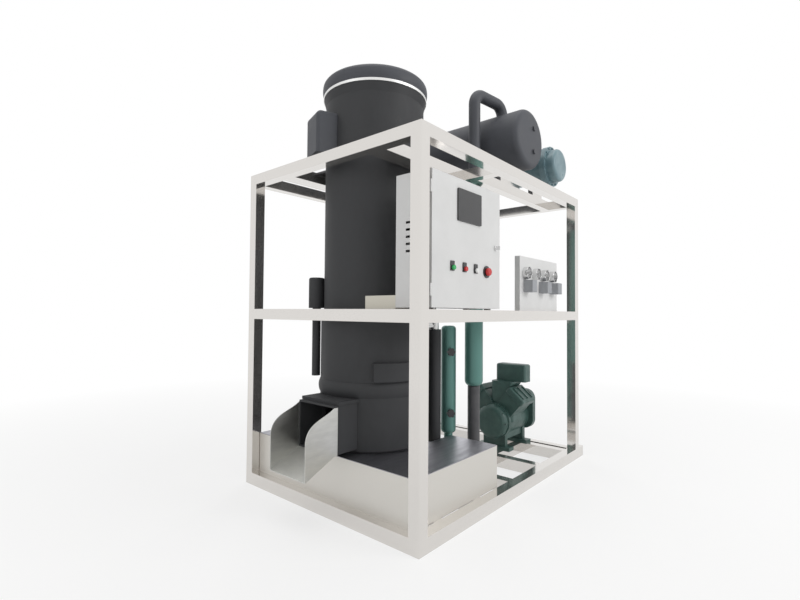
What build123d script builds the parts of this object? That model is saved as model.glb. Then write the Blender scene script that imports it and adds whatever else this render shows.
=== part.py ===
from build123d import *
import math
import os

# Tube ice machine. Millimetres, +Z up, origin at the middle of the frame's footprint on the floor.
# +X runs along the long side towards the compressor, -Y is the control side, -X is the ice outlet.

# Fits
touch = 0.3            # gap between curved faces that rest on each other
running_fit = 0.05     # radial play of a shaft, pin or stem
slide_fit = 0.3        # play round a push button
overcut = 1.0          # cuts run on past a face

# Frame of polished square tube
frame_length = 1840.0
frame_width = 1330.0
frame_height = 1860.0
tube_side = 60.0
tube_wall = 3.0
base_height = 70.0
mid_rail_drop = 815.0        # from the frame's top to the mid rail's top
stub_length = 85.0           # front base rail runs on past the right post
base_cross_xs = (-700.0, -360.0, 0.0, 380.0, 800.0)
base_runner_ys = (-270.0, -130.0)
cabinet_beam_inset = 170.0

# Evaporator: lagged vertical shell with ice tubes inside
evap_inset = 403.0           # from the frame's outlet end to the shell's axis
evap_y = 0.0
evap_radius = 284.0
evap_lower_radius = 299.0
evap_lagging = 34.0
evap_step_height = 432.0
collar_height = 79.0
collar_bulge = 10.0
evap_rise = 344.0            # straight shell above the frame
flare_width = 13.0
flare_height = 46.0
cap_ring_height = 14.0
cap_ring_proud = 3.0
cap_overhang = 7.0
cap_height = 83.0
cap_edge_round = 34.0
ice_tube_radius = 22.0
ice_tube_wall = 3.0
ice_tube_pitch = 78.0
ice_tube_rings = 2
tube_sheet = 16.0
tube_sheet_lift = 9.0
tube_sheet_drop = 90.0

# Evaporator and vessel beams in the top frame
evap_beam_width = 110.0
evap_beam_clear = 15.0
cross_beam_offset = 347.0    # from the evaporator's axis
vessel_beam_ys = (-440.0, 350.0)
lug_length = 44.0
lug_spacing = 260.0
lug_width = 70.0
lug_thickness = 12.0

# Cutter housing under the evaporator
drum_radius = 300.0
drum_wall = 26.0
drum_lift = 12.0             # above the tank's top
drum_height = 271.0
drum_lip = 14.0
drain_plate = 8.0
drain_slots = 12
drain_slot_size = (120.0, 12.0)
neck_y = -8.0
neck_width = 256.0
neck_lift = 21.0             # of the neck's floor above the drum's bottom
neck_height = 224.0
neck_wall = 9.0
neck_reach = 423.0           # from the drum's axis to the mouth
lid_thickness = 16.0
lid_overhang = 9.0
cutter_radius = 258.0
cutter_arm_count = 4
cutter_arm_width = 34.0
cutter_arm_depth = 16.0
cutter_vane_height = 46.0
cutter_vane_thickness = 6.0
cutter_arm_lift = 227.0      # above the neck's floor
sweep_disc_lift = 103.0
sweep_disc_thickness = 12.0
cutter_shaft_radius = 24.0
hub_radius = 52.0
gearbox_size = (150.0, 150.0, 84.0)
gearbox_lift = 8.0
gearbox_round = 12.0
gearbox_bore_depth = 40.0
drive_shaft_radius = 16.0
motor_radius = 72.0
motor_length = 210.0
motor_gap = 22.0
motor_neck_radius = 57.6
motor_fin_count = 16
motor_fin_depth = 9.0
motor_fin_length = 126.0
motor_fin_thickness = 3.0
access_spread = 40.0         # degrees
access_height = 96.0
access_lift = 56.0           # of its middle above the collar
access_thickness = 22.0
access_turn = 245.0

# Ice chute of folded sheet
chute_sheet = 3.0
chute_reach = 174.0
chute_drop = 83.0
chute_nose_height = 168.0
chute_flange = 24.0
chute_slope = 0.72           # fall of the cheek's edge where it leaves the mouth

# Water tank, L shaped in plan, with a top sheet
tank_inset = 50.0            # from the frame's outlet end
tank_clear = 5.0             # to the long base rails
tank_length = 724.0
tank_arm_width = 525.0
pump_clear = 80.0            # from the riser's axis to the tank's foot
tank_top = 300.0
tank_sheet = 3.0
cover_hole_radius = 210.0
seat_ring_width = 22.0

# Control cabinet
cabinet_inset = 76.0         # from the frame's outlet end
cabinet_width = 605.0
cabinet_height = 616.0
cabinet_depth = 208.0
cabinet_lift = 7.0
cabinet_sheet = 2.0
door_depth = 20.0
door_gap = 1.5
hinge_radius = 4.5
hinge_pin_radius = 2.5
hinge_height = 28.0
hinge_offset = 7.0
hinge_inset = 80.0
foot_pad = 26.0
plate_margin = 35.0
plate_thickness = 2.5
device_rows = 3
device_depth = 62.0
device_height = 84.0
louvre_count = 5
louvre_pitch = 33.0
louvre_width = 66.0
louvre_height = 11.0
louvre_lift = 258.0          # above the cabinet's bottom, as the next heights
screen_size = (209.0, 155.0, 7.0)
screen_inset = 304.0         # from the cabinet's left side
screen_lift = 491.0
screen_round = 6.0
button_lift = 188.0
button_insets = (158.0, 261.0, 361.0)
button_names = ("green", "red", "white")
button_radius = 11.0
button_height = 9.0
button_edge = 2.0
button_travel = 3.0
bezel_size = (30.0, 46.0, 5.0)
bezel_round = 3.0
stop_inset = 467.0
stop_radius = 20.0
stop_height = 16.0
stop_round = 7.2
stop_plate_radius = 31.0
stem_radius = 8.0
stem_length = 26.0
lock_inset = 558.0
lock_lift = 320.0
lock_radius = 13.0
lock_head = 8.0
lock_stem = 24.0
lock_stem_radius = 9.0
lock_tongue = 36.0
key_thickness = 3.0
key_width = 20.0

# Water side
riser_x, riser_y = -200.0, -209.0
riser_radius = 38.0
riser_top = 930.0
riser_pipe_radius = 21.0
riser_socket_radius = 24.0
riser_arm_radius = 19.0
pump_radius = 62.0
pump_height = 150.0
pump_round = 18.6
pump_flange = 14.0
pump_flange_height = 18.0
pump_inlet_lift = 67.5
pump_plate_thickness = 8.0
pump_plate_margin = (85.0, 40.0)
pump_plate_clear = 4.0
float_turn = 131.0           # degrees round the evaporator from +X
float_radius = 46.0
float_round = 11.5
float_bottom = 1052.0
float_top = 1228.0
float_tail_radius = 24.0
float_tail_bottom = 664.0
side_box_turn = 161.0
side_box_size = (104.0, 168.0)
side_box_lift = 24.0         # above the frame
side_box_height = 228.0
side_box_round = 30.0
side_box_corner = 18.0

# Lagged low pressure vessel on top
vessel_x = 284.0
vessel_radius = 188.0
vessel_front, vessel_back = -600.0, 450.0
vessel_end_round = 36.0
vessel_plug_radius = 16.0
vessel_plug_spots = ((41.0, 77.0), (41.0, -72.0))
vessel_plug_length = 10.0
saddle_lift = 89.0
saddle_width = 260.0
saddle_thickness = 34.0
saddle_embrace = 0.55        # share of the radius left above the saddle

# Condenser on top
condenser_x = 691.0
condenser_radius = 104.0
condenser_flange_radius = 138.0
condenser_lift = 66.0
condenser_front, condenser_back = -630.0, 470.0
flange_thickness = 20.0
water_box_depth = 62.0
water_box_round = 21.7
flange_bolts = 14
flange_bolt_radius = 7.0
flange_bolt_inset = 11.2
head_step = 8.0
condenser_saddle_width = 150.0

# Green vertical vessels and pipes
separator_x, separator_y = 0.0, -359.0
separator_radius = 55.0
separator_bottom = 585.0
separator_round = 33.0
separator_gap = 10.0         # below the top rails
separator_foot_radius = 37.0
separator_foot_flange = 18.0
separator_foot_plate = 10.0
receiver_x, receiver_y = -100.0, -241.0
receiver_radius = 45.0
receiver_round = 22.5
receiver_bottom, receiver_top = 300.0, 952.0
receiver_foot_radius = 26.0
knob_radius = 24.0
knob_depth = 22.0
knob_notch = 5.0
knob_notch_count = 6
knob_boss = 16.0
knob_boss_radius = 14.4
knob_stem_radius = 5.0
knob_stem_length = 14.0
knob_stem_play = 1.0
knob_zs = (430.0, 795.0)
knob_turn = 227.0            # degrees round the receiver from +X
suction_radius = 36.0
suction_bend = 70.0
suction_rise = 75.0          # above the vessel
suction_drop_y = -395.0

# Compressor
crank_y, crank_z = -218.0, 266.0
crank_front, crank_back = 440.0, 862.0
barrel_radius = 112.0
end_bell_radius = 118.0
end_bell_depth = 64.0
end_bell_round = 36.0
end_ring_radius = 125.0
end_ring_thickness = 14.0
bearing_size = (42.0, 290.0, 290.0)
bearing_lift = 50.0          # of its middle above the crank
bearing_round = 70.0
bearing_cover_radius = 78.0
bearing_cover_depth = 12.0
bank_angles = (-40.0, 40.0)
bank_x = 604.0
bank_size = (196.0, 150.0)
bank_reach = 264.0
bank_step = 18.0
head_depth = 50.0
head_round = 12.0
head_rib_count = 3
head_rib_height = 7.0
head_rib_width = 14.0
gallery_size = (150.0, 170.0)
gallery_round = 22.0
rib_count = 10
rib_thickness = 7.0
rib_reach = 121.0
rib_start = 12.0             # behind the bell's face
sump_width = 150.0
sump_drop = 14.0             # below the barrel
foot_size = (70.0, 250.0, 26.0)
foot_xs = (520.0, 790.0)
foot_web = (35.0, 172.0)
terminal_front = 580.0
terminal_size = (92.0, 228.0, 122.0)
terminal_y = -303.0
terminal_bottom = 545.0
terminal_round = 16.0

# Gauge panel on the front mid rail
panel_left, panel_right = 60.0, 605.0
panel_inset = 31.0
panel_height = 325.0
panel_thickness = 3.0
panel_flange = 32.0
gauge_xs = (128.0, 261.0, 387.0, 513.0)
gauge_lift = 227.0           # above the mid rail
gauge_radius = 36.0
gauge_depth = 30.0
gauge_wall = 2.5
gauge_pin_length = 21.0
dial_depth = 16.5
needle_length = 25.0
needle_tail = 7.0
needle_rest = 135.0
needle_thickness = 1.2
needle_hub = 2.4
needle_hub_radius = 4.0
needle_pin_radius = 2.0
switch_xs = (110.0, 326.0, 490.0)
switch_size = (62.0, 58.0, 72.0)
switch_lift = 112.0
switch_round = 4.0

# Cable trunk behind the cabinet
trunk_lengths = (129.0, 69.0)
trunk_width = 96.0
trunk_height = 65.0

# Derived places
half_length, half_width = frame_length / 2, frame_width / 2
inner_length, inner_width = half_length - tube_side, half_width - tube_side
top_rail_bottom = frame_height - tube_side
mid_rail_top = frame_height - mid_rail_drop
mid_rail_bottom = mid_rail_top - tube_side
cabinet_beam_y = -half_width + cabinet_beam_inset
evap_x = -half_length + evap_inset
cross_beam_x = evap_x + cross_beam_offset
drum_bottom = tank_top + drum_lift
drum_top = drum_bottom + drum_height
evap_top = frame_height + evap_rise
neck_floor_z = drum_bottom + neck_lift
neck_top_z = neck_floor_z + neck_height
mouth_x = evap_x - neck_reach
tank_left, tank_right = -half_length + tank_inset, -half_length + tank_inset + tank_length
tank_wing_right = tank_left + tank_arm_width
tank_front, tank_back = -inner_width + tank_clear, inner_width - tank_clear
tank_wing_back = riser_y - pump_clear
vessel_z = frame_height + saddle_lift + vessel_radius
separator_top = top_rail_bottom - separator_gap


def span(xs, ys, zs):
    """Block between two values on each axis."""
    size = [abs(pair[1] - pair[0]) for pair in (xs, ys, zs)]
    middle = [(pair[0] + pair[1]) / 2 for pair in (xs, ys, zs)]
    return Pos(*middle) * Box(*size)


def rod(start, direction, length, radius):
    """Round bar from a start point along a direction."""
    plane = Plane(origin=start, z_dir=direction)
    return plane * Pos(0, 0, length / 2) * Cylinder(radius, length)


def revolved(points, x=0.0, y=0.0):
    """Solid turned round a vertical line from (radius, height) points."""
    profile = Plane.XZ * make_face(Polyline(*points, close=True))
    return Pos(x, y, 0) * revolve(profile, Axis.Z)


def fused(parts):
    """One solid from overlapping or touching pieces."""
    whole = parts[0]
    for piece in parts[1:]:
        whole = whole + piece
    return whole.clean()


def polar(radius, degrees):
    """Offset at a radius and angle round the evaporator."""
    angle = math.radians(degrees)
    return radius * math.cos(angle), radius * math.sin(angle)


def frame_parts():
    """Welded rings and posts of the frame."""
    xs, ys = (-half_length, half_length), (-half_width, half_width)
    base_z = (0, base_height)
    base = [span((-half_length, half_length + stub_length), (-half_width, -inner_width), base_z),
            span(xs, (inner_width, half_width), base_z)]
    base += [span(pair, (-inner_width, inner_width), base_z)
             for pair in ((-half_length, -inner_length), (inner_length, half_length))]
    base += [span((x - tube_side / 2, x + tube_side / 2), (-inner_width, inner_width), base_z)
             for x in base_cross_xs]
    base += [span((base_cross_xs[1], inner_length), (y - tube_side / 2, y + tube_side / 2), base_z)
             for y in base_runner_ys]
    stub_pocket = span((half_length, half_length + stub_length),
                       (-half_width + tube_wall, -inner_width - tube_wall), (tube_wall, base_height - tube_wall))
    mid_z = (mid_rail_bottom, mid_rail_top)
    mid = [span((-inner_length, inner_length), pair, mid_z)
           for pair in ((-half_width, -inner_width), (inner_width, half_width))]
    mid += [span(pair, (-inner_width, inner_width), mid_z)
            for pair in ((-half_length, -inner_length), (inner_length, half_length))]
    mid.append(span((-inner_length, inner_length),
                    (cabinet_beam_y - tube_side / 2, cabinet_beam_y + tube_side / 2), mid_z))
    top_z = (top_rail_bottom, frame_height)
    top = [span(xs, pair, top_z) for pair in ((-half_width, -inner_width), (inner_width, half_width))]
    top += [span(pair, (-inner_width, inner_width), top_z)
            for pair in ((-half_length, -inner_length), (inner_length, half_length))]
    cross = (cross_beam_x - tube_side / 2, cross_beam_x + tube_side / 2)
    top.append(span(cross, (-inner_width, inner_width), top_z))
    beam_near = evap_radius + evap_beam_clear
    for side in (-1, 1):
        band = (evap_y + side * beam_near, evap_y + side * (beam_near + evap_beam_width))
        top.append(span((-inner_length, cross[0]), band, top_z))
    top += [span((cross[1], inner_length), (y - tube_side / 2, y + tube_side / 2), top_z)
            for y in vessel_beam_ys]
    base.append(span((riser_x - pump_plate_margin[0], receiver_x + pump_plate_margin[1]),
                     (tank_wing_back + pump_plate_clear, base_runner_ys[1] + tube_side / 2),
                     (base_height, base_height + pump_plate_thickness)))
    nodes = {"base_frame": fused(base) - stub_pocket, "mid_frame": fused(mid), "top_frame": fused(top)}
    for end, x in (("left", -1), ("right", 1)):
        for side, y in (("front", -1), ("back", 1)):
            outer = span((x * half_length, x * inner_length), (y * half_width, y * inner_width),
                         (base_height, top_rail_bottom))
            bore = span((x * (half_length - tube_wall), x * (inner_length + tube_wall)),
                        (y * (half_width - tube_wall), y * (inner_width + tube_wall)),
                        (base_height, top_rail_bottom))
            nodes[f"post_{side}_{end}"] = outer - bore
    return nodes


def evaporator_parts():
    """Lagged shell, collar, cap, ice tubes and what is carried on the shell."""
    bore = evap_radius - evap_lagging
    collar_bottom, collar_top = drum_top, drum_top + collar_height
    evap_step_z = drum_top + evap_step_height
    flare_radius, flare_top = evap_radius + flare_width, evap_top + flare_height
    cap_radius = flare_radius + cap_overhang
    shell = revolved([(bore, collar_bottom), (evap_radius, collar_bottom), (evap_radius, collar_top),
                      (evap_lower_radius, collar_top), (evap_lower_radius, evap_step_z),
                      (evap_radius, evap_step_z), (evap_radius, evap_top), (flare_radius, flare_top),
                      (bore, flare_top)], evap_x, evap_y)
    inner = evap_radius + touch
    collar_mid = (collar_bottom + collar_top) / 2
    collar_face = make_face([
        Line((inner, 0, collar_bottom), (drum_radius, 0, collar_bottom)),
        ThreePointArc((drum_radius, 0, collar_bottom), (drum_radius + collar_bulge, 0, collar_mid),
                      (evap_lower_radius, 0, collar_top - touch)),
        Line((evap_lower_radius, 0, collar_top - touch), (inner, 0, collar_top - touch)),
        Line((inner, 0, collar_top - touch), (inner, 0, collar_bottom))])
    collar = Pos(evap_x, evap_y, 0) * revolve(collar_face, Axis.Z)
    ring_top = flare_top + cap_ring_height
    ring = Pos(evap_x, evap_y, flare_top + cap_ring_height / 2) * Cylinder(
        flare_radius + cap_ring_proud, cap_ring_height)
    cap_top = ring_top + cap_height
    shoulder = cap_top - cap_edge_round
    cap_face = make_face([
        Line((0, 0, ring_top), (flare_radius, 0, ring_top)),
        ThreePointArc((flare_radius, 0, ring_top), (cap_radius, 0, (ring_top + shoulder) / 2),
                      (cap_radius - touch, 0, shoulder)),
        ThreePointArc((cap_radius - touch, 0, shoulder),
                      (cap_radius - cap_edge_round * 0.3, 0, cap_top - cap_edge_round * 0.3),
                      (cap_radius - cap_edge_round, 0, cap_top)),
        Line((cap_radius - cap_edge_round, 0, cap_top), (0, 0, cap_top)),
        Line((0, 0, cap_top), (0, 0, ring_top))])
    cap = Pos(evap_x, evap_y, 0) * revolve(cap_face, Axis.Z)

    sheet_radius = bore - touch
    tube_sheet_z = drum_top + tube_sheet_lift
    upper_sheet_z = evap_top - tube_sheet_drop
    spots = []
    for row in range(-ice_tube_rings, ice_tube_rings + 1):
        for step in range(-ice_tube_rings, ice_tube_rings + 1):
            if abs(row + step) <= ice_tube_rings:
                spots.append((ice_tube_pitch * (step + row / 2), ice_tube_pitch * row * math.sqrt(3) / 2))
    low = Pos(evap_x, evap_y, tube_sheet_z + tube_sheet / 2) * Cylinder(sheet_radius, tube_sheet)
    high = Pos(evap_x, evap_y, upper_sheet_z + tube_sheet / 2) * Cylinder(sheet_radius, tube_sheet)
    tube_length = upper_sheet_z + tube_sheet - tube_sheet_z
    places = [Pos(evap_x + x, evap_y + y, tube_sheet_z + tube_length / 2) for x, y in spots]
    bundle = low + high
    bundle = bundle + [place * Cylinder(ice_tube_radius, tube_length) for place in places]
    bundle = bundle - [place * Cylinder(ice_tube_radius - ice_tube_wall, tube_length) for place in places]

    cover_band = (Cylinder(evap_lower_radius + access_thickness, access_height)
                  - Cylinder(evap_lower_radius + touch, access_height + overcut))
    reach = evap_lower_radius + access_thickness
    half_chord = reach * math.sin(math.radians(access_spread / 2))
    cover_band = cover_band & span((0, reach + overcut), (-half_chord, half_chord), (-access_height, access_height))
    cover = Pos(evap_x, evap_y, collar_top + access_lift) * Rot(0, 0, access_turn) * cover_band

    lugs = []
    for side in (-1, 1):
        for x in (-lug_spacing / 2, lug_spacing / 2):
            outer_y = evap_radius + evap_beam_clear + lug_length
            lug = span((evap_x + x - lug_width / 2, evap_x + x + lug_width / 2),
                       (evap_y + side * evap_radius / 2, evap_y + side * outer_y),
                       (frame_height, frame_height + lug_thickness))
            lugs.append(lug - Pos(evap_x, evap_y, frame_height) * Cylinder(evap_radius + touch, 4 * lug_thickness))
    return {"evaporator_shell": shell, "evaporator_collar": collar, "cap_ring": ring, "evaporator_cap": cap,
            "ice_tubes": bundle, "access_cover": cover, "evaporator_lugs": Compound(lugs)}


def cutter_parts():
    """Cutter housing, drain plate, rotor, gearbox, motor, lid and chute."""
    inner_radius = drum_radius - drum_wall
    center = Pos(evap_x, evap_y, 0)
    plate_z = neck_floor_z - drain_plate
    drum = center * Pos(0, 0, drum_bottom + drum_height / 2) * Cylinder(drum_radius, drum_height)
    seat_radius = inner_radius - drum_lip + seat_ring_width
    drum += center * Pos(0, 0, (tank_top + drum_bottom) / 2) * Cylinder(seat_radius, drum_bottom - tank_top)
    neck_ys = (neck_y - neck_width / 2, neck_y + neck_width / 2)
    neck_outer = (neck_ys[0] - neck_wall, neck_ys[1] + neck_wall)
    neck_zs = (neck_floor_z - neck_wall, neck_top_z + neck_wall)
    throat = span((mouth_x, evap_x), neck_outer, neck_zs)
    throat -= span((mouth_x, evap_x), neck_ys, (neck_floor_z, neck_top_z))
    throat -= center * Pos(0, 0, drum_bottom + drum_height / 2) * Cylinder(drum_radius + touch, 2 * drum_height)
    housing = drum - center * Pos(0, 0, (plate_z + drum_top) / 2) * Cylinder(inner_radius, drum_top - plate_z)
    housing -= center * Pos(0, 0, (tank_top + plate_z) / 2) * Cylinder(inner_radius - drum_lip,
                                                                         plate_z - tank_top)
    housing -= span((mouth_x, evap_x), neck_ys, (neck_floor_z, neck_top_z))
    shaft_z = neck_floor_z + gearbox_lift + gearbox_size[2] / 2
    shaft_run = gearbox_size[1] / 2
    housing -= rod((evap_x, evap_y, shaft_z), (0, 1, 0), drum_radius + overcut,
                   drive_shaft_radius + running_fit)

    drain = center * Pos(0, 0, plate_z + drain_plate / 2) * Cylinder(inner_radius - touch, drain_plate)
    slot_mid = (gearbox_size[0] / 2 * math.sqrt(2) + inner_radius) / 2
    slot = Box(drain_slot_size[0], drain_slot_size[1], 3 * drain_plate)
    drain -= [center * Rot(0, 0, 360 * (step + 0.5) / drain_slots) * Pos(slot_mid, 0, plate_z) * slot
              for step in range(drain_slots)]

    box_bottom = neck_floor_z
    box_top = box_bottom + gearbox_lift + gearbox_size[2]
    gearbox = center * Pos(0, 0, (box_bottom + box_top) / 2) * Box(gearbox_size[0], gearbox_size[1],
                                                                  box_top - box_bottom)
    gearbox = fillet(gearbox.edges().filter_by(Axis.Z), gearbox_round)
    gearbox -= center * Pos(0, 0, box_top) * Cylinder(cutter_shaft_radius + running_fit, 2 * gearbox_bore_depth)
    motor_start = drum_radius + motor_gap
    motor = rod((evap_x, evap_y + shaft_run, shaft_z), (0, 1, 0), motor_start - shaft_run, drive_shaft_radius)
    motor += rod((evap_x, evap_y + drum_radius + touch, shaft_z), (0, 1, 0), motor_gap, motor_neck_radius)
    motor += rod((evap_x, evap_y + motor_start, shaft_z), (0, 1, 0), motor_length, motor_radius)
    fin = Box(2 * motor_radius + 2 * motor_fin_depth, motor_fin_thickness, motor_fin_length)
    turn_motor = Plane(origin=(evap_x, evap_y + motor_start + motor_length / 2, shaft_z), z_dir=(0, 1, 0))
    motor += [turn_motor * Rot(0, 0, 360 * step / motor_fin_count) * fin for step in range(motor_fin_count // 2)]

    shaft_bottom = box_top - gearbox_bore_depth + touch
    cutter_arm_z = neck_floor_z + cutter_arm_lift
    sweep_disc_z = neck_floor_z + sweep_disc_lift
    rotor_top = cutter_arm_z + cutter_arm_depth
    rotor = center * Pos(0, 0, (shaft_bottom + rotor_top) / 2) * Cylinder(cutter_shaft_radius,
                                                                         rotor_top - shaft_bottom)
    rotor += center * Pos(0, 0, sweep_disc_z + sweep_disc_thickness / 2) * Cylinder(cutter_radius,
                                                                                   sweep_disc_thickness)
    rotor += center * Pos(0, 0, (sweep_disc_z + rotor_top) / 2) * Cylinder(hub_radius, rotor_top - sweep_disc_z)
    arm_face = make_face(Polyline((0, 0), (cutter_arm_width, 0), (cutter_arm_width * 0.35, cutter_arm_depth),
                                  (0, cutter_arm_depth), close=True))
    arm = extrude(Plane.YZ * arm_face, cutter_radius)
    vane = Pos(cutter_radius / 2, 0, 0) * Box(cutter_radius, cutter_vane_thickness, cutter_vane_height)
    vane_z = sweep_disc_z + sweep_disc_thickness + cutter_vane_height / 2
    for step in range(cutter_arm_count):
        turn = center * Rot(0, 0, 360 * step / cutter_arm_count)
        rotor += turn * Pos(0, 0, cutter_arm_z) * arm
        rotor += turn * Pos(0, 0, vane_z) * vane

    lid_z = neck_zs[1]
    lid_ys = (neck_outer[0] - lid_overhang, neck_outer[1] + lid_overhang)
    lid = span((mouth_x + chute_flange, evap_x), lid_ys, (lid_z, lid_z + lid_thickness))
    lid -= center * Pos(0, 0, lid_z) * Cylinder(drum_radius + touch, 4 * lid_thickness)

    root_x, nose_x = mouth_x + chute_flange, mouth_x - chute_reach
    nose_bottom = neck_zs[0] - chute_drop
    nose_top = nose_bottom + chute_nose_height
    outline = [Line((root_x, neck_zs[0]), (root_x, neck_top_z)),
               Line((root_x, neck_top_z), (mouth_x, neck_top_z)),
               Spline((mouth_x, neck_top_z), (nose_x, nose_top), tangents=((-1, -chute_slope), (0, -1))),
               Line((nose_x, nose_top), (nose_x, nose_bottom)),
               Line((nose_x, nose_bottom), (mouth_x, neck_zs[0])),
               Line((mouth_x, neck_zs[0]), (root_x, neck_zs[0]))]
    cheek = Plane.XZ * make_face(outline)
    floor_face = make_face(Polyline((root_x, neck_zs[0]), (mouth_x, neck_zs[0]), (nose_x, nose_bottom),
                                    (nose_x, nose_bottom - chute_sheet), (mouth_x, neck_zs[0] - chute_sheet),
                                    (root_x, neck_zs[0] - chute_sheet), close=True))
    right = Pos(0, neck_outer[0], 0) * extrude(cheek, chute_sheet)
    left = Pos(0, neck_outer[1] + chute_sheet, 0) * extrude(cheek, chute_sheet)
    floor_width = neck_outer[1] - neck_outer[0] + 2 * chute_sheet
    floor = Pos(0, neck_outer[1] + chute_sheet, 0) * extrude(Plane.XZ * floor_face, floor_width)
    chute = right + left + floor
    return {"cutter_housing": housing, "outlet_throat": throat, "drain_plate": drain, "cutter_gearbox": gearbox,
            "cutter_motor": motor, "ice_cutter": rotor, "outlet_lid": lid, "ice_chute": chute}


def tank_parts():
    """Water tank, its top sheet, the pump and the lagged riser."""
    outline = [(tank_left, tank_front), (tank_right, tank_front), (tank_right, tank_wing_back),
               (tank_wing_right, tank_wing_back), (tank_wing_right, tank_back), (tank_left, tank_back)]
    plan = make_face(Polyline(*outline, close=True))
    body_height = tank_top - tank_sheet - base_height
    body = Pos(0, 0, base_height) * extrude(plan, body_height)
    inner = offset(plan, -tank_sheet)
    body -= Pos(0, 0, base_height + tank_sheet) * extrude(inner, body_height)
    cover = Pos(0, 0, tank_top - tank_sheet) * extrude(plan, tank_sheet)
    cover -= Pos(evap_x, evap_y, tank_top) * Cylinder(cover_hole_radius, 4 * tank_sheet)

    pump_base = base_height + pump_plate_thickness
    pump = Pos(riser_x, riser_y, pump_base + pump_height / 2) * Cylinder(pump_radius, pump_height)
    pump = fillet(pump.edges().group_by(Axis.Z)[-1], pump_round)
    pump += Pos(riser_x, riser_y, pump_base + pump_flange_height / 2) * Cylinder(
        pump_radius + pump_flange, pump_flange_height)
    inlet_z = pump_base + pump_inlet_lift
    pump += rod((riser_x, riser_y, inlet_z), (-1, 0, 0), riser_x - tank_wing_right - touch, riser_pipe_radius)
    riser_bottom = pump_base + pump_height
    riser = Pos(riser_x, riser_y, (riser_bottom + riser_top) / 2) * Cylinder(riser_radius, riser_top - riser_bottom)
    toward = (evap_x - riser_x, evap_y - riser_y)
    distance = math.hypot(*toward)
    pipe_z = riser_top + riser_pipe_radius
    union = Pos(riser_x, riser_y, pipe_z) * Cylinder(riser_socket_radius, 2 * riser_pipe_radius)
    union += rod((riser_x, riser_y, pipe_z), (toward[0], toward[1], 0),
                 distance - evap_lower_radius - touch, riser_arm_radius)
    return {"water_tank": body, "tank_cover": cover, "water_pump": pump, "water_riser": riser, "riser_union": union}


def side_parts():
    """Lagged level column and lagged box on the evaporator's side."""
    dx, dy = polar(evap_radius + float_radius + touch, float_turn)
    x, y = evap_x + dx, evap_y + dy
    column = Pos(x, y, (float_bottom + float_top) / 2) * Cylinder(float_radius, float_top - float_bottom)
    column = fillet(column.edges().group_by(Axis.Z)[-1], float_round)
    column += Pos(x, y, (float_tail_bottom + float_bottom) / 2) * Cylinder(float_tail_radius,
                                                                          float_bottom - float_tail_bottom)
    depth, width = side_box_size
    box = Box(depth + evap_lagging, width, side_box_height)
    top_edge = box.edges().filter_by(Axis.Y).group_by(Axis.X)[-1].group_by(Axis.Z)[-1]
    box = fillet(top_edge, min(side_box_round, side_box_height / 3, depth / 3))
    box = fillet(box.edges().filter_by(Axis.Z).group_by(Axis.X)[-1], min(side_box_corner, width / 4))
    middle_z = frame_height + side_box_lift + side_box_height / 2
    place = Pos(evap_x, evap_y, middle_z) * Rot(0, 0, side_box_turn)
    box = place * Pos(evap_radius + (depth - evap_lagging) / 2, 0, 0) * box
    box -= Pos(evap_x, evap_y, middle_z) * Cylinder(evap_radius + touch, 3 * side_box_height)
    return {"level_column": column, "side_box": box}


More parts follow.
